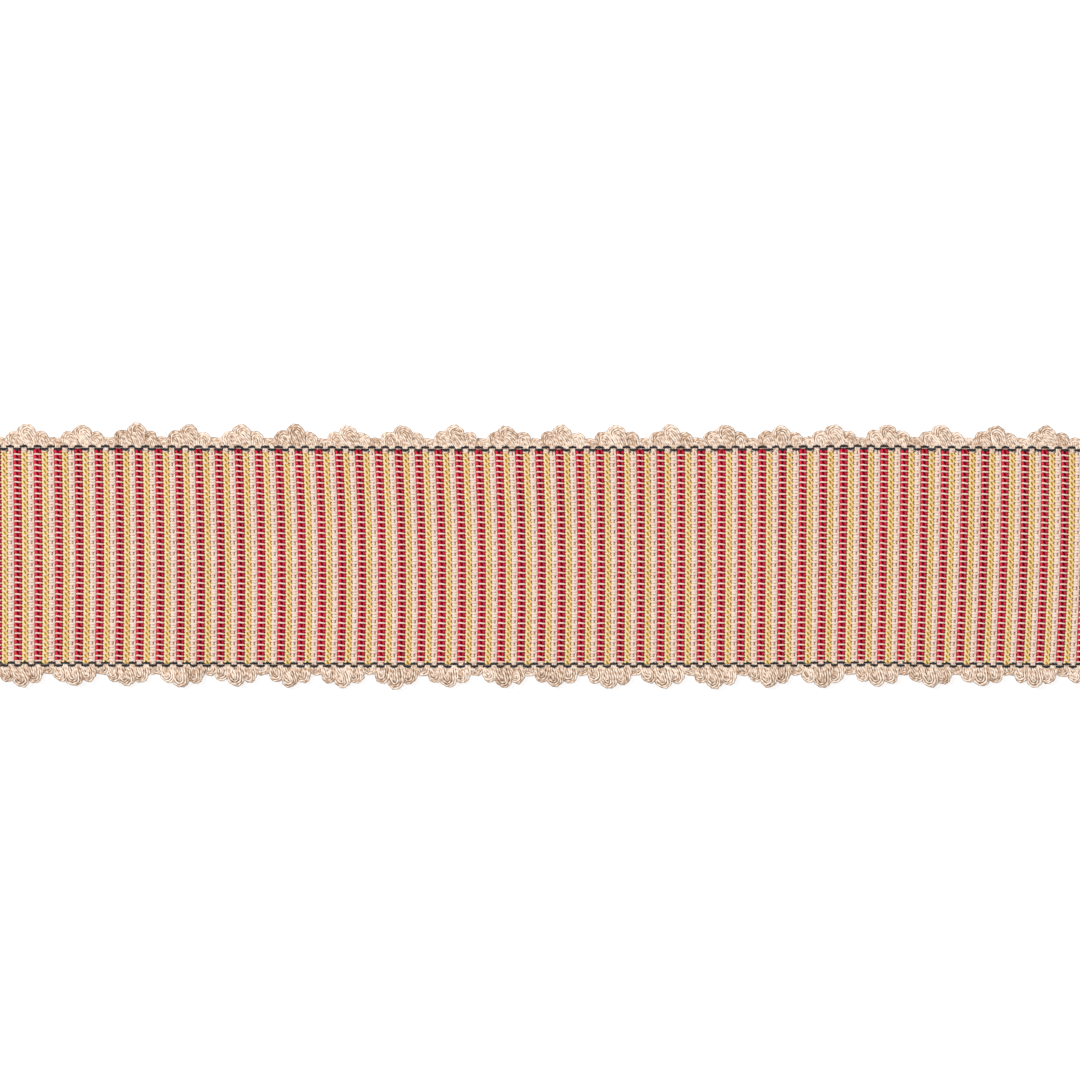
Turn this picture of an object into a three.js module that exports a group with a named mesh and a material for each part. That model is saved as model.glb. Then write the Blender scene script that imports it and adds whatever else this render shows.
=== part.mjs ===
import * as THREE from "three";

// A cut length of scalloped tape trim, lying flat, in millimetres. A ribbed band is woven across
// in red, gold and pale picks, a pair of dark warp ends runs along each side of it, and soft yarn
// stands outside them in loops, four to a scallop. +X runs along the tape, +Y points to its upper
// edge, +Z out of its face, and its back lies on z = 0.

// Driving sizes. A pick is one pass of the weft across the tape.
const PICK = 1.62;
const PICKS_IN_REPEAT = 3;
const PICKS_IN_SCALLOP = 8;
const SCALLOP_COUNT = 21;
const PICK_COUNT = PICKS_IN_SCALLOP * SCALLOP_COUNT;
const FIRST_PICK = -PICK_COUNT / 2;
const PICK_ZERO_X = 0.24;

// Across the tape, as distances from its middle line: each piece starts 0.3 past the one before.
const BAND_HALF = 25.3;
const DARK_INNER = 25.6;
const DARK_OUTER = 26.7;
const EDGING_INNER = 27;

// Heights above the surface that the tape lies on.
const GROOVE_HEIGHT = 1.15;
const DARK_HEIGHT = 1.3;
const ROOT_HEIGHT = 1.15;

// How far an edging reaches where it has no loop.
const PLAIN_REACH = 1.7;

// The ribs of one colour repeat. width is along the tape, crest the height of the rib's ridge.
const RIBS = [
  { name: "red", width: 1.91, crest: 1.5 },
  { name: "gold", width: 1.62, crest: 1.45 },
  { name: "pale", width: 1.33, crest: 1.35 },
];

// The four loops of a scallop on each edge, left to right. width is in picks. crease is how far
// the dip before the loop reaches from the edging's inner side, bulge is what the loop adds to
// that at its top, and height is its thickness.
const UPPER_LOOPS = [
  { name: "middle", width: 1.85, crease: 1.7, bulge: 0.75, height: 1.75 },
  { name: "large", width: 3.05, crease: 3.1, bulge: 1.85, height: 2.2 },
  { name: "middle", width: 1.7, crease: 2.9, bulge: 0.75, height: 1.75 },
  { name: "small", width: 1.4, crease: 1.7, bulge: 0.25, height: 1.55 },
];
const LOWER_LOOPS = [
  { name: "middle", width: 1.9, crease: 1.8, bulge: 0.5, height: 1.7 },
  { name: "large", width: 2.9, crease: 3.3, bulge: 1.2, height: 2 },
  { name: "middle", width: 1.9, crease: 3.45, bulge: 0.8, height: 1.7 },
  { name: "small", width: 1.3, crease: 1.8, bulge: 0.15, height: 1.5 },
];

// Each edging: its loops, where the first loop of a scallop starts, in picks past the scallop's own
// first pick, and the columns of the table below that make its large loops uneven.
const UPPER_EDGING = { loops: UPPER_LOOPS, loopsStart: 0.15, shift: "upperShift", reach: "upperReach" };
const LOWER_EDGING = { loops: LOWER_LOOPS, loopsStart: -1, shift: "lowerShift", reach: "lowerReach" };

// Shares of a loop's width that get a station. A loop may overhang the cut end by this many picks.
const LOOP_STATIONS = [0, 0.2, 0.5, 0.8];
const END_OVERHANG = 0.4;

// Each scallop's large loops lean along the tape (shift) and reach further or less far (reach).
const SCALLOPS = [
  { upperShift: -0.1, upperReach: 0, lowerShift: 0.2, lowerReach: 0 },
  { upperShift: 0.2, upperReach: -0.2, lowerShift: 0.1, lowerReach: -0.3 },
  { upperShift: 0.3, upperReach: 0.4, lowerShift: -0.3, lowerReach: -0.1 },
  { upperShift: 0.1, upperReach: -0.1, lowerShift: -0.3, lowerReach: 0.1 },
  { upperShift: 0, upperReach: 0.1, lowerShift: -0.1, lowerReach: -0.4 },
  { upperShift: 0.2, upperReach: 0.2, lowerShift: 0.2, lowerReach: -0.2 },
  { upperShift: -0.1, upperReach: -0.3, lowerShift: -0.1, lowerReach: 0 },
  { upperShift: 0.1, upperReach: 0, lowerShift: -0.1, lowerReach: 0.2 },
  { upperShift: -0.3, upperReach: 0.3, lowerShift: -0.4, lowerReach: -0.1 },
  { upperShift: -0.5, upperReach: -0.2, lowerShift: 0.3, lowerReach: -0.1 },
  { upperShift: -0.2, upperReach: 0, lowerShift: -0.2, lowerReach: -0.3 },
  { upperShift: -0.1, upperReach: -0.1, lowerShift: -0.1, lowerReach: 0.3 },
  { upperShift: 0, upperReach: 0.1, lowerShift: 0.2, lowerReach: 0.1 },
  { upperShift: 0.1, upperReach: 0, lowerShift: -0.2, lowerReach: 0.4 },
  { upperShift: 0.5, upperReach: -0.3, lowerShift: -0.1, lowerReach: 0 },
  { upperShift: 0.1, upperReach: -0.1, lowerShift: 0, lowerReach: 0.3 },
  { upperShift: 0.1, upperReach: 0, lowerShift: 0.1, lowerReach: 0.2 },
  { upperShift: 0.1, upperReach: 0.1, lowerShift: 0.5, lowerReach: -0.1 },
  { upperShift: 0.1, upperReach: -0.2, lowerShift: -0.1, lowerReach: -0.3 },
  { upperShift: -0.6, upperReach: -0.1, lowerShift: -0.1, lowerReach: -0.2 },
  { upperShift: 0, upperReach: 0, lowerShift: 0, lowerReach: 0 },
];

// How the tape lies, at stations along it. upper, middle and lower are how far the picks lie to the
// right there, at the upper dark ends, the middle line and the lower dark ends. drift is how far
// the whole tape lies upward.
const LAY = [
  { x: -130, upper: -0.35, middle: -0.11, lower: -0.13, drift: 0.16 },
  { x: -104, upper: -0.08, middle: 0.27, lower: 0, drift: 0.14 },
  { x: -78, upper: -0.25, middle: 0.34, lower: 0.25, drift: 0.05 },
  { x: -52, upper: -0.34, middle: 0.51, lower: 0.15, drift: -0.05 },
  { x: -26, upper: -0.53, middle: 0.3, lower: 0.07, drift: -0.12 },
  { x: 0, upper: -0.5, middle: 0.14, lower: -0.12, drift: -0.11 },
  { x: 26, upper: -0.32, middle: -0.16, lower: -0.32, drift: -0.1 },
  { x: 52, upper: 0.03, middle: -0.12, lower: -0.36, drift: 0 },
  { x: 78, upper: 0.33, middle: 0.06, lower: -0.4, drift: 0.23 },
  { x: 104, upper: 0.51, middle: 0.03, lower: -0.86, drift: -0.08 },
  { x: 130, upper: 0.29, middle: 0.08, lower: -1.01, drift: -0.18 },
];
const LAY_HALF = 26.2;

function pickX(pick) {
  return PICK_ZERO_X + PICK * pick;
}

function layAt(x) {
  const past = LAY.findIndex((row) => row.x > x);
  const index = past === -1 ? LAY.length - 1 : Math.max(past, 1);
  const [before, after] = [LAY[index - 1], LAY[index]];
  const share = THREE.MathUtils.smoothstep(x, before.x, after.x);
  const between = (key) => THREE.MathUtils.lerp(before[key], after[key], share);
  return {
    upper: between("upper"), middle: between("middle"), lower: between("lower"), drift: between("drift"),
  };
}

// Moves a point of the straight tape to where it is on the tape as it lies. Each pick is bent to
// the parabola through its three places, and the loops outside the dark ends follow its ends.
function settled(x, y, z) {
  const { upper, middle, lower, drift } = layAt(x);
  const share = THREE.MathUtils.clamp(y / LAY_HALF, -1, 1);
  const slant = (upper - lower) / 2;
  const bow = (upper + lower) / 2 - middle;
  return [x + middle + slant * share + bow * share * share, y + drift, z];
}

// Carries a section, points of [across, up], along the tape through numbered stations.
// place(across, up, station) gives each of its points a position there.
function strip(name, section, stationCount, material, place) {
  const shape = new THREE.Shape(section.map(([across, up]) => new THREE.Vector2(across, up)));
  const steps = stationCount - 1;
  const geometry = new THREE.ExtrudeGeometry(shape, { depth: steps, steps, bevelEnabled: false });
  const points = geometry.attributes.position;
  for (let i = 0; i < points.count; i += 1) {
    const station = Math.round(points.getZ(i));
    points.setXYZ(i, ...place(points.getX(i), points.getY(i), station));
  }
  geometry.computeVertexNormals();
  const mesh = new THREE.Mesh(geometry, material);
  mesh.name = name;
  return mesh;
}

// Stations along the band: the groove before each pick and the ridge along the pick's middle.
function ribStations() {
  const stations = [];
  let x = pickX(FIRST_PICK) - RIBS[0].width / 2;
  for (let repeat = 0; repeat < PICK_COUNT / RIBS.length; repeat += 1) {
    for (const rib of RIBS) {
      stations.push({ x, height: GROOVE_HEIGHT });
      stations.push({ x: x + rib.width / 2, height: rib.crest });
      x += rib.width;
    }
  }
  stations.push({ x, height: GROOVE_HEIGHT });
  return stations;
}

// The ribbed band: flat underneath, a little thinner at its two sides than over its middle.
function stripedBand() {
  const stations = ribStations();
  const inner = BAND_HALF * 0.4;
  const section = [
    [-BAND_HALF, 0], [BAND_HALF, 0], [BAND_HALF, 0.9], [inner, 1], [-inner, 1], [-BAND_HALF, 0.9],
  ];
  const material = new THREE.MeshStandardMaterial({ color: 0xcf9c7c, roughness: 0.85, metalness: 0 });
  return strip("striped_band", section, stations.length, material, (across, up, station) =>
    settled(stations[station].x, across, up * stations[station].height));
}

// A pair of dark ends in plain weave: one of them shows over every second pick, the other over the
// picks between, so the pair swings down over one pick and up over the next.
function darkWarp(name, side) {
  const width = 0.75;
  const swing = (DARK_OUTER - DARK_INNER - width) / 2;
  const middle = (DARK_INNER + DARK_OUTER) / 2;
  const section = [
    [-width / 2, 0], [width / 2, 0], [width * 0.36, 1], [-width * 0.36, 1],
  ];
  const material = new THREE.MeshStandardMaterial({ color: 0x2b2c31, roughness: 0.8, metalness: 0 });
  return strip(name, section, PICK_COUNT, material, (across, up, station) => {
    const x = pickX(FIRST_PICK + station);
    const step = station % 2 === 0 ? -swing : swing;
    return settled(x, side * middle + step + across, up * DARK_HEIGHT);
  });
}

// The stations of one loop that starts at a pick: the crease before it, its shoulders and its top.
function domeStations(loop, nextCrease, pick, shift, stretch) {
  return LOOP_STATIONS.map((along) => {
    const dome = Math.sqrt(1 - (2 * along - 1) ** 2);
    const base = THREE.MathUtils.lerp(loop.crease, nextCrease, along);
    return {
      x: pickX(pick + loop.width * along) + shift * dome,
      reach: base + (loop.bulge + stretch) * dome,
      height: THREE.MathUtils.lerp(ROOT_HEIGHT, loop.height, dome),
    };
  });
}

// The stations of a whole edging: plain at both cut ends, with every whole loop between them.
function edgingStations({ loops, loopsStart, shift, reach }) {
  const start = FIRST_PICK - 0.5;
  const end = start + PICK_COUNT;
  const plain = (x) => ({ x, reach: PLAIN_REACH, height: ROOT_HEIGHT });
  const stations = [];
  let pick = FIRST_PICK - PICKS_IN_SCALLOP / 2 + loopsStart;
  let lastLoopEnd = start;
  for (let scallop = -1; scallop < SCALLOP_COUNT; scallop += 1) {
    const uneven = SCALLOPS[Math.max(scallop, 0)];
    loops.forEach((loop, index) => {
      const nextCrease = loops[(index + 1) % loops.length].crease;
      const share = loop.name === "large" ? 1 : 0;
      const whole = pick > start && pick + loop.width < end + END_OVERHANG;
      if (whole) {
        stations.push(...domeStations(loop, nextCrease, pick, share * uneven[shift], share * uneven[reach]));
        lastLoopEnd = pick + loop.width;
      }
      pick += loop.width;
    });
  }
  stations[0] = plain(stations[0].x);
  const closing = Math.max(end, lastLoopEnd + END_OVERHANG / 2);
  return [plain(pickX(start)), ...stations, plain(pickX(lastLoopEnd)), plain(pickX(closing))];
}

// A looped edging: flat underneath, thickest near its outer side, thin where it meets the tape.
function loopEdging(name, side, edging) {
  const stations = edgingStations(edging);
  const section = [
    [0, 0], [0.86, 0], [1, 0.5], [0.72, 1], [0, 0.75],
  ];
  const turned = section.map(([across, up]) => [side * across, up]);
  const material = new THREE.MeshStandardMaterial({ color: 0xe0c8ae, roughness: 0.9, metalness: 0 });
  return strip(name, turned, stations.length, material, (across, up, station) => {
    const { x, reach, height } = stations[station];
    return settled(x, side * EDGING_INNER + across * reach, up * height);
  });
}

const trim = new THREE.Group();
trim.name = "scalloped_tape_trim";
trim.add(
  stripedBand(),
  darkWarp("dark_warp_upper", 1),
  darkWarp("dark_warp_lower", -1),
  loopEdging("loop_edging_upper", 1, UPPER_EDGING),
  loopEdging("loop_edging_lower", -1, LOWER_EDGING),
);

export default trim;
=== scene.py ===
from collections import namedtuple

import bpy
import numpy as np
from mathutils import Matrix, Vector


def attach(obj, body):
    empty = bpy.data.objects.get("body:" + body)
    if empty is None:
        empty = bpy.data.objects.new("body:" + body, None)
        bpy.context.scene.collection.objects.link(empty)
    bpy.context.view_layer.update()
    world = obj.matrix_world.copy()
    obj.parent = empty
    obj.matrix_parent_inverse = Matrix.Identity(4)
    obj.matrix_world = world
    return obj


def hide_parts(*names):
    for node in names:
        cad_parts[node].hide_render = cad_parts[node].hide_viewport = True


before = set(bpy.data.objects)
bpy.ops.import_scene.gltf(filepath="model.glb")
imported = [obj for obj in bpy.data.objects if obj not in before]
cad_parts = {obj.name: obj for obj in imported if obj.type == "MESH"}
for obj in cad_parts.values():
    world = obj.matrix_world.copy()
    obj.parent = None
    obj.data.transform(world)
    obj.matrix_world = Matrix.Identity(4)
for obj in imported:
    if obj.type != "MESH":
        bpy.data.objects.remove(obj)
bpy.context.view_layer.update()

# The stuffer ends: very fine cotton that runs straight through the middle of the cloth, between
# the yarns of its face and those of its back. The ends are too fine to tell apart, so they are one
# thin sheet. The picks are beaten up against each other over and under it. The sheet shows only
# through the gaps between the yarns, and its dark brown is painted shade for those gaps.

# All lengths are in millimetres until a mesh is made. X runs along the tape, Y across it.
MILLIMETRE = 0.001
STUFFER_HEIGHT = 0.36
STUFFER_THICK = 0.14
STUFFER_HALF = 25.5
STUFFER_INSET = 0.2
STUFFER_STATIONS = 169
STUFFER_POINTS = 9
CUT_LEFT = -136.75
CUT_RIGHT = 135.4

# How the tape lies, at stations along it. upper, middle and lower are how far the picks lie to the
# right at the upper edge, the middle line and the lower edge, LAY_HALF apart. drift is how far the
# tape lies up. Columns: x, upper, middle, lower, drift.
LAY = np.array([
    (-130, -0.35, -0.11, -0.13, 0.16),
    (-104, -0.08, 0.27, 0.0, 0.14),
    (-78, -0.25, 0.34, 0.25, 0.05),
    (-52, -0.34, 0.51, 0.15, -0.05),
    (-26, -0.53, 0.3, 0.07, -0.12),
    (0, -0.5, 0.14, -0.12, -0.11),
    (26, -0.32, -0.16, -0.32, -0.1),
    (52, 0.03, -0.12, -0.36, 0.0),
    (78, 0.33, 0.06, -0.4, 0.23),
    (104, 0.51, 0.03, -0.86, -0.08),
    (130, 0.29, 0.08, -1.01, -0.18),
])
LAY_HALF = 26.2

# The yarns' pattern is moved on by this length times the yarn's tone, so that no two are alike.
PATTERN_STEP = 37


def settled(points):
    """Moves points[..., (x, y, z)] of the straight tape to where they are on the tape as it lies.

    The rows of LAY are eased into each other along x. Across the tape each pick follows the parabola
    through its three places, and all that is outside the edges follows its ends.
    """
    x, y = points[..., 0], points[..., 1]
    past = np.clip(np.searchsorted(LAY[:, 0], x), 1, len(LAY) - 1)
    before, after = LAY[past - 1], LAY[past]
    run = np.clip((x - before[..., 0]) / (after[..., 0] - before[..., 0]), 0, 1)
    eased = (run * run * (3 - 2 * run))[..., None]
    row = before + (after - before) * eased
    upper, middle, lower, drift = (row[..., i] for i in range(1, 5))
    share = np.clip(y / LAY_HALF, -1, 1)
    moved = np.array(points, float)
    moved[..., 0] += middle + (upper - lower) / 2 * share + ((upper + lower) / 2 - middle) * share**2
    moved[..., 1] += drift
    return moved


def closed_mesh(name, rings, angles, tones_and_side_light):
    """Makes one mesh of closed tubes from rings[yarn, station, side, (x, y, z)] in millimetres.

    A tube's wall is the quads between neighbouring rings, wrapped round, and one face closes each
    end. The map "yarn" holds the length run along the yarn in millimetres, moved on by a different
    step for each yarn, and the share of a turn round it, from the sides' angles: 0 at the bottom and
    0.5 at the top. The attribute "tone" is one number a yarn.
    """
    yarns, stations, sides = rings.shape[:3]
    index = np.arange(yarns * stations * sides).reshape(yarns, stations, sides)
    here, there = index[:, :-1], index[:, 1:]
    quads = np.stack([here, np.roll(here, -1, 2), np.roll(there, -1, 2), there], -1)
    caps = np.concatenate([index[:, 0, ::-1], index[:, -1]])
    corners = np.concatenate([quads.ravel(), caps.ravel()])
    sizes = np.concatenate([np.full(quads.size // 4, 4), np.full(2 * yarns, sides)])

    steps = np.linalg.norm(np.diff(rings.mean(2), axis=1), axis=-1)
    run = np.concatenate([np.zeros((yarns, 1)), np.cumsum(steps, 1)], 1) + PATTERN_STEP * tones_and_side_light[:, None]
    turn = angles / (2 * np.pi) + 0.25
    turn_next = np.append(turn[1:], turn[0] + 1)
    wall = np.zeros(quads.shape + (2,))
    wall[..., 0] = np.stack([run[:, :-1], run[:, :-1], run[:, 1:], run[:, 1:]], -1)[:, :, None]
    wall[..., 1] = np.stack([turn, turn_next, turn_next, turn], -1)
    ends = np.zeros(caps.shape + (2,))
    ends[:yarns, :, 0], ends[yarns:, :, 0] = run[:, :1], run[:, -1:]

    mesh = bpy.data.meshes.new(name)
    mesh.vertices.add(index.size)
    mesh.vertices.foreach_set("co", (settled(rings) * MILLIMETRE).astype(np.float32).ravel())
    mesh.loops.add(corners.size)
    mesh.loops.foreach_set("vertex_index", corners.astype(np.int32))
    mesh.polygons.add(sizes.size)
    starts = np.concatenate([[0], np.cumsum(sizes)[:-1]])
    mesh.polygons.foreach_set("loop_start", starts.astype(np.int32))
    mesh.update(calc_edges=True)
    mesh.polygons.foreach_set("use_smooth", np.arange(sizes.size) < quads.size // 4)
    coords = np.concatenate([wall.reshape(-1, 2), ends.reshape(-1, 2)])
    mesh.uv_layers.new(name="yarn").data.foreach_set("uv", coords.astype(np.float32).ravel())
    # One number a yarn: its tone, and in the weft also the painted light that makes each pick's left strand
    # lighter.
    tone_and_side_light = mesh.attributes.new("tone_and_side_light", "FLOAT", "POINT")
    tone_and_side_light.data.foreach_set("value", np.repeat(tones_and_side_light, stations * sides).astype(np.float32))
    made = bpy.data.objects.new(name, mesh)
    bpy.context.scene.collection.objects.link(made)
    return made


def add_node(tree, kind, inputs, **settings):
    """Adds a node with its settings; inputs are values, or sockets of other nodes to link to."""
    made = tree.nodes.new(kind)
    for key, value in settings.items():
        setattr(made, key, value)
    for key, value in inputs.items():
        if isinstance(value, bpy.types.NodeSocket):
            tree.links.new(value, made.inputs[key])
        else:
            made.inputs[key].default_value = value
    return made


def spun_yarn_group():
    """A group for spun yarn. Shade goes from 0 in the furrows, deep in the cloth, to 1 on its face.

    Depth goes from 0 to 1 as the place lies Low to High metres above or below the height Middle.
    Crest is the cosine of the turn round the yarn, without its sign: 1 on top and bottom, 0 on the
    flanks. Ply is half of one plus the sine of a full turn times (length run x Turns + share of a
    turn x Plies). Fibre is noise drawn out along the yarn, with Fibres to a turn. Shade is those four
    and the yarn's tone, each times its share. Depth, Crest and Ply are painted shade: the colour
    darkens in the crevices, on the flanks and in the furrows of the twist. Fibre and tone are the
    yarn's own, but in the weft the tone also carries painted light that makes each pick's left
    strand lighter. Height is for a bump, from Ply and Fibre.
    """
    full_turn = 6.2832
    noise_along = 1.1
    noise_apart = 40.0
    ply_relief = 0.7
    fibre_relief = 0.4
    numbers = {
        "Turns": 0.6, "Plies": 2.0, "Fibres": 9.0, "Middle": 0.0007, "Low": 0.0002, "High": 0.0007,
        "Crevice shade share": 0.4, "Flank shade share": 0.2, "Ply furrow shade share": 0.1, "Fibre share": 0.2, "Tone and side light share": 0.1,
    }
    group = bpy.data.node_groups.new("spun_yarn", "ShaderNodeTree")
    for key, value in numbers.items():
        socket = group.interface.new_socket(name=key, in_out="INPUT", socket_type="NodeSocketFloat")
        socket.default_value = value
    for key in ("Shade", "Height"):
        group.interface.new_socket(name=key, in_out="OUTPUT", socket_type="NodeSocketFloat")
    given = group.nodes.new("NodeGroupInput").outputs
    result = group.nodes.new("NodeGroupOutput").inputs

    def math(operation, *values, clamp=False):
        made = add_node(group, "ShaderNodeMath", dict(enumerate(values)), operation=operation)
        made.use_clamp = clamp
        return made.outputs[0]

    place = add_node(group, "ShaderNodeUVMap", {}, uv_map="yarn").outputs["UV"]
    split = add_node(group, "ShaderNodeSeparateXYZ", {0: place}).outputs
    tone_and_side_light = add_node(group, "ShaderNodeAttribute", {}, attribute_name="tone_and_side_light").outputs["Fac"]
    turns = math("ADD", math("MULTIPLY", split["X"], given["Turns"]),
                 math("MULTIPLY", split["Y"], given["Plies"]))
    ply = math("MULTIPLY_ADD", math("SINE", math("MULTIPLY", turns, full_turn)), 0.5, 0.5)
    crest = math("ABSOLUTE", math("COSINE", math("MULTIPLY", split["Y"], full_turn)))
    drawn = add_node(group, "ShaderNodeCombineXYZ", {
        0: math("MULTIPLY", split["X"], noise_along),
        1: math("MULTIPLY", split["Y"], given["Fibres"]),
        2: math("MULTIPLY", tone_and_side_light, noise_apart),
    }).outputs[0]
    fibre = add_node(group, "ShaderNodeTexNoise", {
        "Vector": drawn, "Scale": 1.0, "Detail": 3.0, "Roughness": 0.6,
    }).outputs["Fac"]
    fibre = add_node(group, "ShaderNodeMapRange", {
        "Value": fibre, "From Min": 0.3, "From Max": 0.7,
    }).outputs[0]
    solid = add_node(group, "ShaderNodeTexCoord", {}).outputs["Object"]
    height = add_node(group, "ShaderNodeSeparateXYZ", {0: solid}).outputs["Z"]
    away = math("ABSOLUTE", math("SUBTRACT", height, given["Middle"]))
    depth = add_node(group, "ShaderNodeMapRange", {
        "Value": away, "From Min": given["Low"], "From Max": given["High"],
    }, interpolation_type="SMOOTHSTEP").outputs[0]

    # Painted shade: the colour darkens in crevices, on the flanks and in the furrows of the twist; fibre
    # noise and tone add the yarn's own unevenness.
    shade = math("MULTIPLY", depth, given["Crevice shade share"])
    shade = math("MULTIPLY_ADD", crest, given["Flank shade share"], shade)
    shade = math("MULTIPLY_ADD", ply, given["Ply furrow shade share"], shade)
    shade = math("MULTIPLY_ADD", fibre, given["Fibre share"], shade)
    shade = math("MULTIPLY_ADD", tone_and_side_light, given["Tone and side light share"], shade, clamp=True)
    relief = math("MULTIPLY_ADD", ply, ply_relief, math("MULTIPLY", fibre, fibre_relief))
    group.links.new(shade, result["Shade"])
    group.links.new(relief, result["Height"])
    return group


SPUN_YARN = spun_yarn_group()


def yarn_material(name, stops, sockets, relief, roughness, sheen):
    """Yarn coloured along stops of (shade, colour) by the group's Shade, with its twist as a bump.

    sockets are the group's own numbers, relief the height of the twist in metres.
    """
    material = bpy.data.materials.new(name)
    material.use_nodes = True
    tree = material.node_tree
    shader = tree.nodes["Principled BSDF"]
    yarn = add_node(tree, "ShaderNodeGroup", {}, node_tree=SPUN_YARN)
    for key, value in sockets.items():
        yarn.inputs[key].default_value = value
    # The ramp turns Shade into colour, so its lower stops are painted shade, together with the yarn's own
    # fibre and tone.
    ramp = add_node(tree, "ShaderNodeValToRGB", {0: yarn.outputs["Shade"]})
    marks = ramp.color_ramp.elements
    while len(marks) < len(stops):
        marks.new(0.5)
    # The ramp sorts its marks by place, so each gets its colour once all of them are in place.
    for mark, (place, colour) in zip(marks, stops):
        mark.position = place
    for mark, (place, colour) in zip(marks, stops):
        mark.color = (*colour, 1)
    bump = add_node(tree, "ShaderNodeBump", {
        "Height": yarn.outputs["Height"], "Distance": relief, "Strength": 0.7,
    })
    tree.links.new(ramp.outputs["Color"], shader.inputs["Base Color"])
    tree.links.new(bump.outputs["Normal"], shader.inputs["Normal"])
    shader.inputs["Roughness"].default_value = roughness
    shader.inputs["Specular IOR Level"].default_value = 0.12
    shader.inputs["Sheen Weight"].default_value = sheen
    shader.inputs["Sheen Roughness"].default_value = 0.5
    return material


def stuffer_sheet():
    """A thin closed sheet: a flat ring [-half, half] x [low, high] carried along x from cut to cut."""
    x = np.linspace(CUT_LEFT + STUFFER_INSET, CUT_RIGHT - STUFFER_INSET, STUFFER_STATIONS)
    out = np.linspace(-STUFFER_HALF, STUFFER_HALF, STUFFER_POINTS)
    back = np.linspace(STUFFER_HALF, -STUFFER_HALF, STUFFER_POINTS)
    rings = np.zeros((1, len(x), 2 * STUFFER_POINTS, 3))
    rings[..., 0] = x[:, None]
    rings[..., 1] = np.concatenate([out, back])
    rings[..., 2] = np.repeat([STUFFER_HEIGHT, STUFFER_HEIGHT + STUFFER_THICK], STUFFER_POINTS)
    angles = np.linspace(-np.pi / 2, 3 * np.pi / 2, 2 * STUFFER_POINTS, endpoint=False)
    return closed_mesh("stuffer_ends", rings, angles, np.array([0.5]))


stuffer = stuffer_sheet()
# The sheet's dark brown is painted shade, seen in the gaps between the yarns.
stuffer.data.materials.append(yarn_material(
    "stuffer_painted_shade",
    ((0.0, (0.13, 0.055, 0.035)), (1.0, (0.3, 0.16, 0.11))),
    {"Crevice shade share": 0.0, "Flank shade share": 0.0, "Ply furrow shade share": 0.0, "Fibre share": 0.9, "Tone and side light share": 0.1},
    relief=0.00003, roughness=0.9, sheen=0.1,
))
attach(stuffer, "root")
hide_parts("striped_band")

# The weft: the thick soft yarn that crosses the tape, two strands twisted together in each pick, in
# the order red, gold, pale. Between the fine warp ends that press it down it swells up into cells,
# each with a slanting pit where its strands part, and at both sides it turns back under the dark ends.

# The tape's repeat is one pick of each colour. PICK_ZERO_X is the place of the repeat that is counted
# as zero, and the next three are how far the middle of each colour's pick lies from there.
PICK = 1.62
COLOURS = 3
REPEAT = COLOURS * PICK
REPEATS = np.arange(-28, 28)
PICK_ZERO_X = 0.24
RED_X = -0.02
GOLD_X = 1.7
PALE_X = 3.27
# The two sets of warp ends that cross the weft: the highest level of each, their pitch and number.
LEVEL_A = 24.6
LEVEL_B = 25.28
PITCH = 1.354
LEVELS = 38
# A cell's stations, in shares of the pitch from its middle, and the share at which it closes. The
# rounded tip of a strand counts as one more station past the last cell, closed further still. The
# gold and the pale cells lie a share of the pitch below the levels that they are given.
CELL_SHARES = (-0.34, 0.0, 0.34)
CELL_CLOSED = 0.36
TIP_SHARE = 0.4
TIP_FULL = -0.9
GOLD_DOWN = 0.06
PALE_DOWN = 0.25
WEFT_BOTTOM = 0.1
WEFT_ANGLES = np.radians([-90, -35, 30, 90, 150, 215])
# The section of a strand as (share of the half width towards the pick's edge, share of the height) at
# those angles, the first three on the side of the edge: at the ends of a cell, and in its middle.
STRAND_CLOSED = np.array([(0.0, 0.0), (1.0, 0.4), (0.8, 0.75), (0.0, 1.0), (-0.8, 0.9), (-1.0, 0.5)])
STRAND_PARTED = np.array([(0.0, 0.0), (1.0, 0.4), (0.85, 0.85), (0.2, 1.0), (-0.5, 0.66), (-1.0, 0.4)])
SHOULDER = 2
# A pick's edges slant by this share of its furrow's slant, and its strands lap by this at the furrow.
EDGE_SLANT = 0.12
FURROW_LAP = 0.04
STRAND_UNEVEN = 0.03
EDGE_UNEVEN = 0.025
# The left and the right strand's tone, and how much more a pick may have. The left strand's
# higher tone is painted light from the left, which makes it lighter than the right one.
STRAND_SIDE_LIGHT = np.array([0.7, 0.1])
PICK_TONES = 0.3
rng = np.random.default_rng(21)


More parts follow.
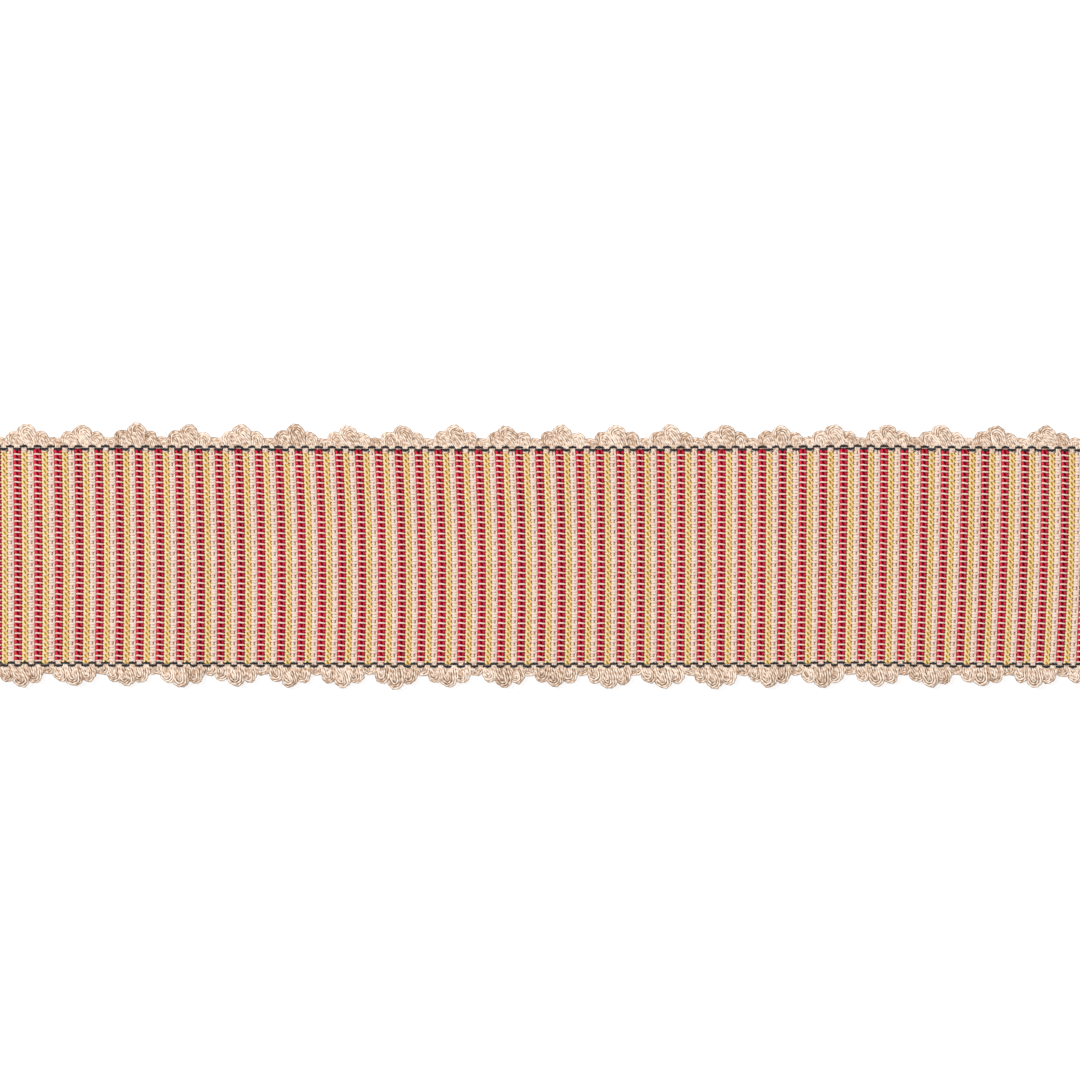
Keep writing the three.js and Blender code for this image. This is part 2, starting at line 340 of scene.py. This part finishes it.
def weft_strands(name, middle_x, reach, pinch, levels, shares, crest, saddle, shoulder, tips, right, slant):
    """Two strands for each pick of one colour, as tubes carried across the tape.

    Stations lie at each level plus shares of the pitch. There the strand's top is at crest in the
    middle of a cell and at saddle at its ends, by the square of the share, and its section follows,
    with its outer shoulder in the middle of a cell at that share of the height.
    Each strand fills its pick from reach, at the edge, to the furrow between them, which runs slant to
    the right down a cell. At the ends of a cell the reach is less by the share pinch. tips are the y
    of both rounded ends. right lowers the right strand.
    """
    y = (levels[:, None] - np.array(shares) * PITCH).ravel()
    share = np.tile(shares, len(levels))
    full = 1 - (share / CELL_CLOSED) ** 2
    y = np.concatenate([[tips[0]], y, [tips[1]]])
    share = np.concatenate([[-TIP_SHARE], share, [TIP_SHARE]])
    full = np.concatenate([[TIP_FULL], full, [TIP_FULL]])
    side = np.array([-1, 1])[:, None]
    picks = len(REPEATS)
    shape = (picks, 2, len(y))
    top = saddle + (crest - saddle) * full - right * (side > 0) + rng.normal(0, STRAND_UNEVEN, shape)
    edge = side * reach * (1 - pinch + pinch * full) + EDGE_SLANT * slant * share
    edge = edge + rng.normal(0, EDGE_UNEVEN, shape)
    furrow = slant * share + rng.normal(0, STRAND_UNEVEN, (picks, 1, len(y))) - side * FURROW_LAP
    parted = np.clip(full, 0, 1)[:, None, None]
    section = STRAND_CLOSED + (STRAND_PARTED - STRAND_CLOSED) * parted
    section[:, SHOULDER, 1] += (shoulder - STRAND_PARTED[SHOULDER, 1]) * parted[:, 0, 0]
    middle = REPEATS[:, None, None] * REPEAT + PICK_ZERO_X + middle_x + (edge + furrow) / 2
    half = (edge - furrow) / 2
    rings = np.zeros(shape + (len(WEFT_ANGLES), 3))
    rings[..., 0] = middle[..., None] + half[..., None] * section[..., 0]
    rings[..., 1] = y[:, None]
    rings[..., 2] = WEFT_BOTTOM + (top - WEFT_BOTTOM)[..., None] * section[..., 1]
    # The left strand's section is the mirror image of the right one's, so it is passed the other way.
    rings[:, 0] = np.roll(rings[:, 0, :, ::-1], 1, 2)
    flat = rings.reshape((-1,) + rings.shape[2:])
    # Each pick's tone is random, and its left strand gets more, as painted light from the left.
    tones_and_side_light = rng.random((picks, 1)) * PICK_TONES + STRAND_SIDE_LIGHT
    return closed_mesh(name, flat, WEFT_ANGLES, tones_and_side_light.ravel())


levels_a = LEVEL_A - PITCH * np.arange(LEVELS)
levels_b = LEVEL_B - PITCH * np.arange(LEVELS)
# The weft's crevice, flank and furrow shade shares paint shade into its colour: a pick darkens between its
# strands, at the saddles under the warp and on its flanks, towards its ramp's darkest stops.
WEFT_NUMBERS = {
    "Turns": 0.5, "Plies": 2.0, "Middle": 0.00072, "Low": 0.00024, "High": 0.00072,
    "Crevice shade share": 0.45, "Flank shade share": 0.15, "Ply furrow shade share": 0.1, "Fibre share": 0.15, "Tone and side light share": 0.25,
}

red_weft = weft_strands(
    "red_weft", RED_X, reach=0.97, pinch=0.08, levels=levels_b, shares=CELL_SHARES, crest=1.5,
    saddle=1.12, shoulder=0.8, tips=(26.0, -25.3), right=0.05, slant=0.6,
)
red_weft.data.materials.append(yarn_material(
    "crimson_yarn",
    ((0.15, (0.09, 0.002, 0.009)), (0.5, (0.41, 0.007, 0.026)), (1.0, (0.82, 0.038, 0.08))),
    WEFT_NUMBERS, relief=0.00004, roughness=0.8, sheen=0.0,
))
gold_weft = weft_strands(
    "gold_weft", GOLD_X, reach=0.85, pinch=0.26, levels=levels_a - GOLD_DOWN * PITCH,
    shares=CELL_SHARES, crest=1.46, saddle=1.14, shoulder=0.85, tips=(25.05, -26.05), right=0.05,
    slant=0.8,
)
gold_weft.data.materials.append(yarn_material(
    "gold_yarn",
    ((0.1, (0.48, 0.27, 0.03)), (0.5, (0.76, 0.53, 0.15)), (1.0, (0.92, 0.79, 0.44))),
    {**WEFT_NUMBERS, "High": 0.0007}, relief=0.00004, roughness=0.8, sheen=0.0,
))
pale_weft = weft_strands(
    "pale_weft", PALE_X, reach=0.68, pinch=0.08, levels=levels_b - PALE_DOWN * PITCH, shares=(0.0,),
    crest=1.26, saddle=1.26, shoulder=0.9, tips=(25.5, -25.5), right=0.03, slant=0.0,
)
# The pale yarn's darker stops are painted shade, in its furrow and in the pits where the warp dives.
pale_weft.data.materials.append(yarn_material(
    "pale_pink_yarn",
    ((0.0, (0.40, 0.24, 0.19)), (0.5, (0.70, 0.50, 0.41)), (1.0, (0.90, 0.76, 0.63))),
    {"Turns": 0.5, "Plies": 2.0, "Middle": 0.00065, "Low": 0.0001, "High": 0.0005,
     "Crevice shade share": 0.5, "Flank shade share": 0.15, "Ply furrow shade share": 0.05, "Fibre share": 0.15, "Tone and side light share": 0.15},
    relief=0.00004, roughness=0.8, sheen=0.0,
))
for weft in (red_weft, gold_weft, pale_weft):
    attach(weft, "root")
    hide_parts("striped_band")

# The face warp: fine cream-pink ends that run along the tape in two sets, half a pitch apart. One
# set passes over red and pale and under gold. The other passes over gold and the left of pale, and
# every second end of it over all of pale, which leaves a small pit where the others dive.
WARP_ANGLES = np.radians([-50, 35, 145, 230])
WARP_HALF_HEIGHT = 0.26
WARP_LOWEST_Y = -25.35
WARP_CUT_Z = 0.7
WARP_CUT_HALF = 0.2
# How uneven the ends are: where they are cut, across the tape, in height, and as a share in width.
CUT_UNEVEN = 0.08
SWAY_UNEVEN = 0.04
HEIGHT_UNEVEN = 0.025
WIDTH_UNEVEN = 0.07
# The path of an end through one repeat. Columns: x in the repeat, sway in pitches, z, half width.
OVER_RED = np.array([
    (-0.58, -0.05, 1.28, 0.18),
    (0.56, 0.04, 1.28, 0.18),
    (0.94, 0.06, 0.4, 0.15),
    (1.7, 0.1, 0.3, 0.2),
    (2.24, 0.2, 0.6, 0.2),
    (2.66, 0.27, 1.24, 0.31),
    (3.7, 0.26, 1.24, 0.31),
    (4.0, 0.12, 0.6, 0.17),
])
TO_LEFT_OF_PALE = np.array([
    (-0.5, 0.0, 0.3, 0.2),
    (0.55, 0.0, 0.3, 0.2),
    (0.93, 0.03, 0.72, 0.2),
    (1.25, 0.05, 1.02, 0.2),
    (2.0, 0.1, 1.0, 0.2),
    (2.42, 0.15, 0.3, 0.13),
    (2.7, 0.25, 1.34, 0.3),
])
OVER_GOLD = np.vstack([TO_LEFT_OF_PALE, (3.7, 0.26, 1.22, 0.31), (4.02, 0.12, 0.3, 0.15)])
OVER_GOLD_ONLY = np.vstack([TO_LEFT_OF_PALE, (2.98, 0.3, 1.1, 0.26), (3.34, 0.36, 0.3, 0.13)])


def directions(line):
    """The directions along line[..., station, (x, y, z)] and square across it, the second level."""
    ahead = np.gradient(line, axis=-2)
    ahead /= np.linalg.norm(ahead, axis=-1, keepdims=True)
    across = np.stack([-ahead[..., 1], ahead[..., 0], np.zeros(ahead.shape[:-1])], -1)
    across /= np.linalg.norm(across, axis=-1, keepdims=True)
    return ahead, across


def carried(line, wide, high, angles):
    """Rings round line[..., station, (x, y, z)]: wide x cosine across it and high x sine above it.

    Across is the level direction square to the line, and above is square to both.
    """
    ahead, across = directions(line)
    above = np.cross(ahead, across)
    wide, high = (np.broadcast_to(v, line.shape[:-1])[..., None, None] for v in (wide, high))
    return (line[..., None, :] + across[..., None, :] * wide * np.cos(angles)[:, None]
            + above[..., None, :] * high * np.sin(angles)[:, None])


def warp_ends(levels, path):
    """Rings of the ends at those levels: the path of one repeat, over and over, from cut to cut.

    The lowest of them is held up by the dark ends.
    """
    x = (REPEATS[:, None] * REPEAT + PICK_ZERO_X + path[:, 0]).ravel()
    sway, z, half = (np.tile(path[:, column], len(REPEATS)) for column in (1, 2, 3))
    x = np.concatenate([[CUT_LEFT], x, [CUT_RIGHT]])
    sway = np.concatenate([[sway[0]], sway, [sway[-1]]])
    z = np.concatenate([[WARP_CUT_Z], z, [WARP_CUT_Z]])
    half = np.concatenate([[WARP_CUT_HALF], half, [WARP_CUT_HALF]])
    lines = np.zeros((len(levels), len(x), 3))
    lines[..., 0] = x
    lines[:, 0, 0] += rng.normal(0, CUT_UNEVEN, len(levels))
    lines[:, -1, 0] += rng.normal(0, CUT_UNEVEN, len(levels))
    lines[..., 1] = np.maximum(levels[:, None] - sway * PITCH, WARP_LOWEST_Y)
    lines[..., 1] += rng.normal(0, SWAY_UNEVEN, lines.shape[:2])
    lines[..., 2] = z + rng.normal(0, HEIGHT_UNEVEN, lines.shape[:2])
    half = half * (1 + rng.normal(0, WIDTH_UNEVEN, lines.shape[:2]))
    # The four sides stand at slanting angles, so half is the reach of the upper two of them.
    return carried(lines, half / np.cos(WARP_ANGLES[1]), WARP_HALF_HEIGHT, WARP_ANGLES)


# The warp's crevice, flank and furrow shade shares paint shade into its colour: an end darkens where it
# dives into the cloth and on its flanks, and the cream's darkest, almost brown stop shades the holes where
# it dives.
WARP_NUMBERS = {
    "Turns": 1.6, "Plies": 2.0, "Middle": 0.0007, "Low": 0.0001, "High": 0.0006,
    "Crevice shade share": 0.5, "Flank shade share": 0.1, "Ply furrow shade share": 0.05, "Fibre share": 0.2, "Tone and side light share": 0.15,
}
# The first set's colour is pinker than the second's: partly the ends' own cream-pink, partly painted
# reflection of the red weft that it lies over.
pink = yarn_material(
    "pink_warp_red_reflection", ((0.0, (0.30, 0.13, 0.09)), (0.5, (0.76, 0.51, 0.42)), (1.0, (0.93, 0.75, 0.66))),
    WARP_NUMBERS, relief=0.00002, roughness=0.8, sheen=0.0,
)
cream = yarn_material(
    "cream_warp", ((0.0, (0.14, 0.06, 0.03)), (0.5, (0.74, 0.53, 0.39)), (1.0, (0.93, 0.81, 0.66))),
    WARP_NUMBERS, relief=0.00002, roughness=0.8, sheen=0.0,
)
warp_red = closed_mesh("warp_over_red", warp_ends(levels_a, OVER_RED), WARP_ANGLES, rng.random(LEVELS))
second_set = warp_ends(levels_b, OVER_GOLD)
second_set[0::2] = warp_ends(levels_b[0::2], OVER_GOLD_ONLY)
warp_gold = closed_mesh("warp_over_gold", second_set, WARP_ANGLES, rng.random(LEVELS))
for warp, colour in ((warp_red, pink), (warp_gold, cream)):
    warp.data.materials.append(colour)
    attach(warp, "root")
    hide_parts("striped_band")

# The dark warp: two charcoal ends along each side of the ground, in plain weave over the beige yarn,
# so that one shows over every second pick and the other over the picks between, as a broken line.

# The y of the inner and the outer row, the section of an end, and its places where it is cut.
DARK_ROWS = (25.77, 26.55)
DARK_ANGLES = np.radians([-90, -30, 30, 90, 150, 210])
DARK_HALF_HEIGHT = 0.28
DARK_UNEVEN = 0.03
DARK_CUT_Z = 0.75
DARK_CUT_HALF = 0.3
DARK_UNDER_Z = 0.3
# A dark end over one pick. Columns: share of the pick's width, z, half width, how far the end is
# drawn towards the other row. Under a pick only its z is another, DARK_UNDER_Z.
DARK_OVER = np.array([
    (-0.34, 1.2, 0.25, 0.1),
    (0.0, 1.3, 0.4, 0.0),
    (0.34, 1.2, 0.25, 0.1),
])
# The picks one by one: their middles, their widths by colour, and their numbers.
PICK_CENTRES = (REPEATS[:, None] * REPEAT + PICK_ZERO_X + np.array([RED_X, GOLD_X, PALE_X])).ravel()
PICK_WIDTHS = np.tile([1.75, 1.65, 1.3], len(REPEATS))
FIRST_PICK = COLOURS * REPEATS[0]
PICK_NUMBERS = FIRST_PICK + np.arange(len(PICK_CENTRES))


def dark_ends(name, side, inner_over):
    """Two ends for one side, the inner row and the outer row, with three stations a pick.

    Each lies high over picks whose number is odd or even, inner_over (0 even, 1 odd) for the inner
    row and the other for the outer row. Between picks the two draw together.
    """
    share, over_z, half, drawn = DARK_OVER.T
    x = (PICK_CENTRES[:, None] + PICK_WIDTHS[:, None] * share).ravel()
    x = np.concatenate([[CUT_LEFT], x, [CUT_RIGHT]])
    half = np.concatenate([[DARK_CUT_HALF], np.tile(half, len(PICK_CENTRES)), [DARK_CUT_HALF]])
    drawn = np.concatenate([[0], np.tile(drawn, len(PICK_CENTRES)), [0]])
    lines = np.zeros((2, len(x), 3))
    lines[..., 0] = x
    for row, (over, way) in enumerate(((inner_over, 1), (1 - inner_over, -1))):
        high = (PICK_NUMBERS % 2 == over)[:, None]
        z = np.where(high, over_z, DARK_UNDER_Z).ravel()
        lines[row, :, 1] = side * (DARK_ROWS[row] + way * drawn)
        lines[row, :, 2] = np.concatenate([[DARK_CUT_Z], z, [DARK_CUT_Z]])
    lines[..., 1] += rng.normal(0, DARK_UNEVEN, lines.shape[:2])
    rings = carried(lines, half, DARK_HALF_HEIGHT, DARK_ANGLES)
    return closed_mesh(name, rings, DARK_ANGLES, rng.random(2))


# Its crevice and flank shade shares paint a little shade into the charcoal where an end dips under the
# picks and on its flanks.
charcoal = yarn_material(
    "charcoal_yarn",
    ((0.0, (0.006, 0.006, 0.008)), (0.6, (0.016, 0.016, 0.02)), (1.0, (0.05, 0.05, 0.058))),
    {"Turns": 0.9, "Plies": 2.0, "Middle": 0.0007, "Low": 0.0001, "High": 0.0006,
     "Crevice shade share": 0.3, "Flank shade share": 0.1, "Ply furrow shade share": 0.2, "Fibre share": 0.3, "Tone and side light share": 0.1},
    relief=0.00005, roughness=0.8, sheen=0.1,
)
dark_upper = dark_ends("dark_ends_upper", 1, inner_over=0)
dark_lower = dark_ends("dark_ends_lower", -1, inner_over=1)
for ends, node in ((dark_upper, "dark_warp_upper"), (dark_lower, "dark_warp_lower")):
    ends.data.materials.append(charcoal)
    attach(ends, "root")
    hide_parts(node)

# The edging: soft beige yarn of many thin plies, laid in with the weft. It goes in between the dark
# ends over two picks and stands out between them as a hairpin loop, four to a scallop. The large
# loop lies on top of its neighbours, and the small one between two scallops lies low.

# A hairpin's first pick and centre are counted in picks from its scallop's start. half_width is half
# the width of its arch, tip the y that it reaches and crown the height that its line rises to. spread
# and deep are half the width and half the height of its bundle, and plies is how many make it up.
# uneven is its share of its scallop's shift and reach below.
Hairpin = namedtuple("Hairpin", "first_pick centre half_width tip crown spread deep plies uneven")
UPPER_HAIRPINS = (
    Hairpin(1, 1.65, 0.8, 30.35, 0.8, 1.5, 0.42, 9, 0.3),
    Hairpin(3, 3.5, 0.95, 31.9, 0.95, 1.8, 0.48, 11, 1),
    Hairpin(5, 5.6, 0.8, 30.2, 0.8, 1.45, 0.42, 9, 0.3),
    Hairpin(7, 7.55, 0.85, 28.75, 0.55, 1.1, 0.38, 7, 0),
)
LOWER_HAIRPINS = (
    Hairpin(0, 0.4, 0.8, 30.5, 0.8, 1.4, 0.5, 8, 0.6),
    Hairpin(2, 2.35, 0.75, 31.75, 1.0, 1.7, 0.56, 9, 1),
    Hairpin(4, 4.35, 0.8, 30.7, 0.8, 1.4, 0.5, 8, 0.6),
    Hairpin(6, 6.45, 0.85, 28.8, 0.55, 1.15, 0.38, 6, 0.3),
)
PICKS_A_SCALLOP = 8
SCALLOPS = np.arange(-11, 11)
# How far the large loops of each scallop lean along the tape, and how much further they reach. The
# first number is for scallop UNEVEN_FROM, and a scallop further out has the nearest one's.
UNEVEN_FROM = -10
UPPER_SHIFT = (-0.1, 0.2, 0.3, 0.1, 0, 0.2, -0.1, 0.1, -0.3, -0.5, -0.2, -0.1, 0, 0.1, 0.5, 0.1, 0.1,
               0.1, 0.1, -0.6, 0)
UPPER_REACH = (0, -0.2, 0.4, -0.1, 0.1, 0.2, -0.3, 0, 0.3, -0.2, 0, -0.1, 0.1, 0, -0.3, -0.1, 0, 0.1,
               -0.2, -0.1, 0)
LOWER_SHIFT = (0.2, 0.1, -0.3, -0.3, -0.1, 0.2, -0.1, -0.1, -0.4, 0.3, -0.2, -0.1, 0.2, -0.2, -0.1, 0,
               0.1, 0.5, -0.1, -0.1, 0)
LOWER_REACH = (0, -0.3, -0.1, 0.1, -0.4, -0.2, 0, 0.2, -0.1, -0.1, -0.3, 0.3, 0.1, 0.4, 0, 0.3, 0.2,
               -0.1, -0.3, -0.2, 0)
LEAN_UNEVEN = 0.1
REACH_UNEVEN = 0.08
ARCH_UNEVEN = 0.06
# A leg's four places, from inside the ground out: its y, its two heights and how loose it is there.
# The first height is for a leg that is covered, at the first two places, or that comes out over the
# outer dark end, at the last two, and the second height is for the others.
LEG_Y = np.array([25.3, *DARK_ROWS, 27.15])
LEG_HEIGHTS = ((0.4, 0.5), (0.42, 1.05), (1.1, 0.42), (0.6, 1.0))
LEG_LOOSE = (0, 0, 0.05, 0.8)
# The arch: where it springs from the legs, its stations and the shares of a half turn at which the
# first and the last of them lie.
ROOT_HALF = 0.8
ROOT_Y = 27.4
ROOT_Z = 0.72
ARCH_STEPS = 12
ARCH_SHARES = (0.05, 0.95)
# How fast its half width and its height are reached, and how early its middle and its y, as powers.
WIDEN_RATE = 2
RISE_RATE = 1.3
MIDDLE_POWER = 0.7
REACH_POWER = 0.9
# How far its right side is drawn in and laid over the left one, how far its tip sags, by a power that
# keeps the sag to the tip, and the share of the spread by which its line falls short of the tip.
ARCH_DRAWN_IN = 0.25
ARCH_LAP = 0.35
ARCH_SAG = 0.15
SAG_POWER = 6
TIP_SHORT = 0.93
# The bundle of plies: half its width and height where it is tight, how much more or less than the
# given turns a hairpin has, and the plies themselves, thin where it is tight and thick where loose.
TIGHT_WIDE = 0.48
TIGHT_TALL = 0.07
TURN_SHARES = (0.6, 1.5)
PLY_RADIUS = 0.29
PLY_THIN = 0.85
PLY_SWELL = 0.2
PLY_ANGLES = np.radians([-90, -18, 54, 126, 198])
PLY_UNEVEN = 0.05
RADIUS_UNEVEN = 0.08
# An ellipse of the bundle's usual flatness, so that its plies keep the same distance round it.
ELLIPSE_FLATNESS = 0.2
ELLIPSE_TURN = np.linspace(0, 2 * np.pi, 361)
ELLIPSE_STEPS = np.hypot(np.sin(ELLIPSE_TURN[1:]), ELLIPSE_FLATNESS * np.cos(ELLIPSE_TURN[1:]))
ELLIPSE_RUN = np.concatenate([[0], np.cumsum(ELLIPSE_STEPS)])
ELLIPSE_RUN /= ELLIPSE_RUN[-1]


def hairpin_lines(side, pin, shift, reach, inner_over):
    """The middle lines of one of a scallop's hairpins, in every scallop that has it.

    A line goes out along one pick, over or under each dark row as the weave has it, through an arch
    and back along the next pick. It is covered where a dark end lies over it, or where red on the
    upper edge and gold on the lower one reaches the inner row. Through the arch its half width goes
    from the legs' to the pin's, times the square root of the cosine. Its middle, its y and its height
    go from the root to the crown by powers or a sine of the arch's sine. The right leg lies over the
    left one.
    """
    first = PICKS_A_SCALLOP * SCALLOPS + pin.first_pick
    there = (first >= FIRST_PICK) & (first < FIRST_PICK + len(PICK_CENTRES) - 1)
    scallops, first = SCALLOPS[there], first[there]
    count = len(first)
    nearest = np.clip(scallops - UNEVEN_FROM, 0, len(shift) - 1)
    lean = np.array(shift)[nearest] * pin.uneven + rng.normal(0, LEAN_UNEVEN, count)
    longer = np.array(reach)[nearest] * pin.uneven + rng.normal(0, REACH_UNEVEN, count)
    leg_left = PICK_CENTRES[first - FIRST_PICK]
    leg_right = PICK_CENTRES[first - FIRST_PICK + 1]
    root_middle = (leg_left + leg_right) / 2
    crown_x = PICK_ZERO_X + PICK * (PICKS_A_SCALLOP * scallops + pin.centre) + lean

    arch = np.linspace(*ARCH_SHARES, ARCH_STEPS)
    high = np.sin(np.pi * arch)[None]
    swing = (-np.sign(np.cos(np.pi * arch)) * np.abs(np.cos(np.pi * arch)) ** 0.5)[None]
    full_half = pin.half_width * rng.normal(1, ARCH_UNEVEN, (count, 1))
    half = ROOT_HALF + (full_half - ROOT_HALF) * np.minimum(high * WIDEN_RATE, 1)
    middle = root_middle[:, None] + (crown_x - root_middle)[:, None] * high**MIDDLE_POWER
    arch_x = middle + swing * half - ARCH_DRAWN_IN * np.maximum(swing, 0) * high
    far = pin.tip + longer[:, None] - pin.spread * TIP_SHORT
    arch_y = ROOT_Y + (far - ROOT_Y) * high**REACH_POWER
    rise = np.sin(np.minimum(high * RISE_RATE, 1) * np.pi / 2)
    arch_z = ROOT_Z + (pin.crown - ROOT_Z) * rise - ARCH_SAG * high**SAG_POWER
    arch_z = np.repeat(arch_z + ARCH_LAP * swing * high, count, 0)
    loop = np.stack([arch_x, arch_y, arch_z], -1)

    legs = []
    reaching_colour = 0 if side > 0 else 1
    for pick, leg_x in ((first, leg_left), (first + 1, leg_right)):
        dash = pick % 2 == inner_over
        covered = dash | (pick % COLOURS == reaching_colour)
        held = (covered, covered, dash, dash)
        z = np.stack([np.where(is_held, *heights) for is_held, heights in zip(held, LEG_HEIGHTS)], 1)
        x = np.broadcast_to(leg_x[:, None], z.shape)
        y = np.broadcast_to(LEG_Y, z.shape)
        legs.append(np.stack([x, y, z], -1))
    lines = np.concatenate([legs[0], loop, legs[1][:, ::-1]], 1)
    if side < 0:
        lines = lines[:, ::-1] * (1, -1, 1)
    return lines


def hairpin_plies(lines, pin, turns):
    """Rings of the plies about lines[hairpin, station, (x, y, z)].

    They lie round an ellipse about the line, spread wide and deep high where it is loose, and turn
    slowly about it, turns to the millimetre, some hairpins more than others. None lies under the
    table top.
    """
    count = len(lines)
    loose = np.concatenate([LEG_LOOSE, np.ones(ARCH_STEPS), LEG_LOOSE[::-1]])
    wide = TIGHT_WIDE + (pin.spread - PLY_RADIUS - TIGHT_WIDE) * loose
    tall = TIGHT_TALL + (pin.deep - PLY_RADIUS - TIGHT_TALL) * loose
    steps = np.linalg.norm(np.diff(lines, axis=1), axis=-1)
    run = np.concatenate([np.zeros((count, 1)), np.cumsum(steps, 1)], 1)
    turn = run[:, None] * turns * rng.uniform(*TURN_SHARES, (count, 1, 1))
    turn = turn + rng.random((count, 1, 1)) + np.arange(pin.plies)[:, None] / pin.plies
    angle = np.interp(turn % 1, ELLIPSE_RUN, ELLIPSE_TURN)
    across = directions(lines)[1]
    offset = across[:, None] * (np.cos(angle) * wide)[..., None]
    offset[..., 2] += np.sin(angle) * tall
    plies = lines[:, None] + offset + rng.normal(0, PLY_UNEVEN, offset.shape)
    radius = PLY_RADIUS * (PLY_THIN + PLY_SWELL * loose) * (1 + rng.normal(0, RADIUS_UNEVEN, angle.shape))
    plies[..., 2] = np.maximum(plies[..., 2], radius)
    rings = carried(plies, radius, radius, PLY_ANGLES)
    return rings.reshape((-1,) + rings.shape[2:])


def looped_edging(name, side, pins, shift, reach, inner_over, turns):
    """One side's edging: the plies of all its hairpins in one mesh."""
    rings = np.concatenate([
        hairpin_plies(hairpin_lines(side, pin, shift, reach, inner_over), pin, turns) for pin in pins])
    return closed_mesh(name, rings, PLY_ANGLES, rng.random(len(rings)))


# The beige's flank, furrow and crevice shade shares paint shade into its colour: its deep brown lowest stop
# is painted shade in the furrows between the plies and low down between the loops.
beige = yarn_material(
    "beige_plied_yarn",
    ((0.3, (0.14, 0.055, 0.02)), (0.6, (0.56, 0.365, 0.24)), (0.86, (0.94, 0.80, 0.68))),
    {"Turns": 0.7, "Plies": 1.0, "Fibres": 3.0, "Middle": 0.0, "Low": 0.0002, "High": 0.0015,
     "Crevice shade share": 0.05, "Flank shade share": 0.4, "Ply furrow shade share": 0.2, "Fibre share": 0.25, "Tone and side light share": 0.2},
    relief=0.00005, roughness=0.85, sheen=0.1,
)
loops_upper = looped_edging(
    "loops_upper", 1, UPPER_HAIRPINS, UPPER_SHIFT, UPPER_REACH, inner_over=0, turns=-0.07)
loops_lower = looped_edging(
    "loops_lower", -1, LOWER_HAIRPINS, LOWER_SHIFT, LOWER_REACH, inner_over=1, turns=-0.09)
for loops, node in ((loops_upper, "loop_edging_upper"), (loops_lower, "loop_edging_lower")):
    loops.data.materials.append(beige)
    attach(loops, "root")
    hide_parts(node)

# The studio: a plain white table top, a wide soft light overhead and a smaller one from the upper
# left that gives the yarns their relief, and a camera with a long lens straight above.
TABLE_HALF = 3
TABLE_CORNERS = [
    (-TABLE_HALF, -TABLE_HALF, 0), (TABLE_HALF, -TABLE_HALF, 0),
    (TABLE_HALF, TABLE_HALF, 0), (-TABLE_HALF, TABLE_HALF, 0),
]
LENS = 300.0
SENSOR = 36.0
FRAME_WIDTH = 0.2611
FRAME_Y = 0.00397
FACE_Z = 0.0012

floor_mesh = bpy.data.meshes.new("table_top")
floor_mesh.from_pydata(TABLE_CORNERS, [], [(0, 1, 2, 3)])
floor = bpy.data.objects.new("table_top", floor_mesh)
bpy.context.scene.collection.objects.link(floor)
table = bpy.data.materials.new("white_table")
table.use_nodes = True
table_sockets = table.node_tree.nodes["Principled BSDF"].inputs
table_sockets["Base Color"].default_value = (0.97, 0.97, 0.97, 1)
table_sockets["Roughness"].default_value = 0.9
table_sockets["Specular IOR Level"].default_value = 0.1
floor_mesh.materials.append(table)


def soft_light(name, place, size, power):
    """A square soft light at place, in metres, that points at the middle of the tape."""
    data = bpy.data.lights.new(name, "AREA")
    data.size = size
    data.energy = power
    lamp = bpy.data.objects.new(name, data)
    lamp.location = place
    aim = -np.array(place) / np.linalg.norm(place)
    lamp.rotation_mode = "QUATERNION"
    lamp.rotation_quaternion = Vector(aim).to_track_quat("-Z", "Y")
    lamp.visible_camera = False
    bpy.context.scene.collection.objects.link(lamp)


soft_light("overhead_light", (0.0, 0.1, 2.2), 0.7, 36.0)
soft_light("upper_left_light", (-1.0, 0.75, 0.95), 0.6, 8.0)
world = bpy.data.worlds.new("studio")
world.use_nodes = True
sky_sockets = world.node_tree.nodes["Background"].inputs
sky_sockets["Color"].default_value = (1, 1, 1, 1)
sky_sockets["Strength"].default_value = 0.28
bpy.context.scene.world = world
bpy.context.scene.view_settings.view_transform = "Standard"

camera_data = bpy.data.cameras.new("camera")
camera_data.lens = LENS
camera_data.sensor_width = SENSOR
camera_data.clip_end = 20
camera = bpy.data.objects.new("camera", camera_data)
camera.location = (0, FRAME_Y, FACE_Z + FRAME_WIDTH * LENS / SENSOR)
bpy.context.scene.collection.objects.link(camera)
bpy.context.scene.camera = camera
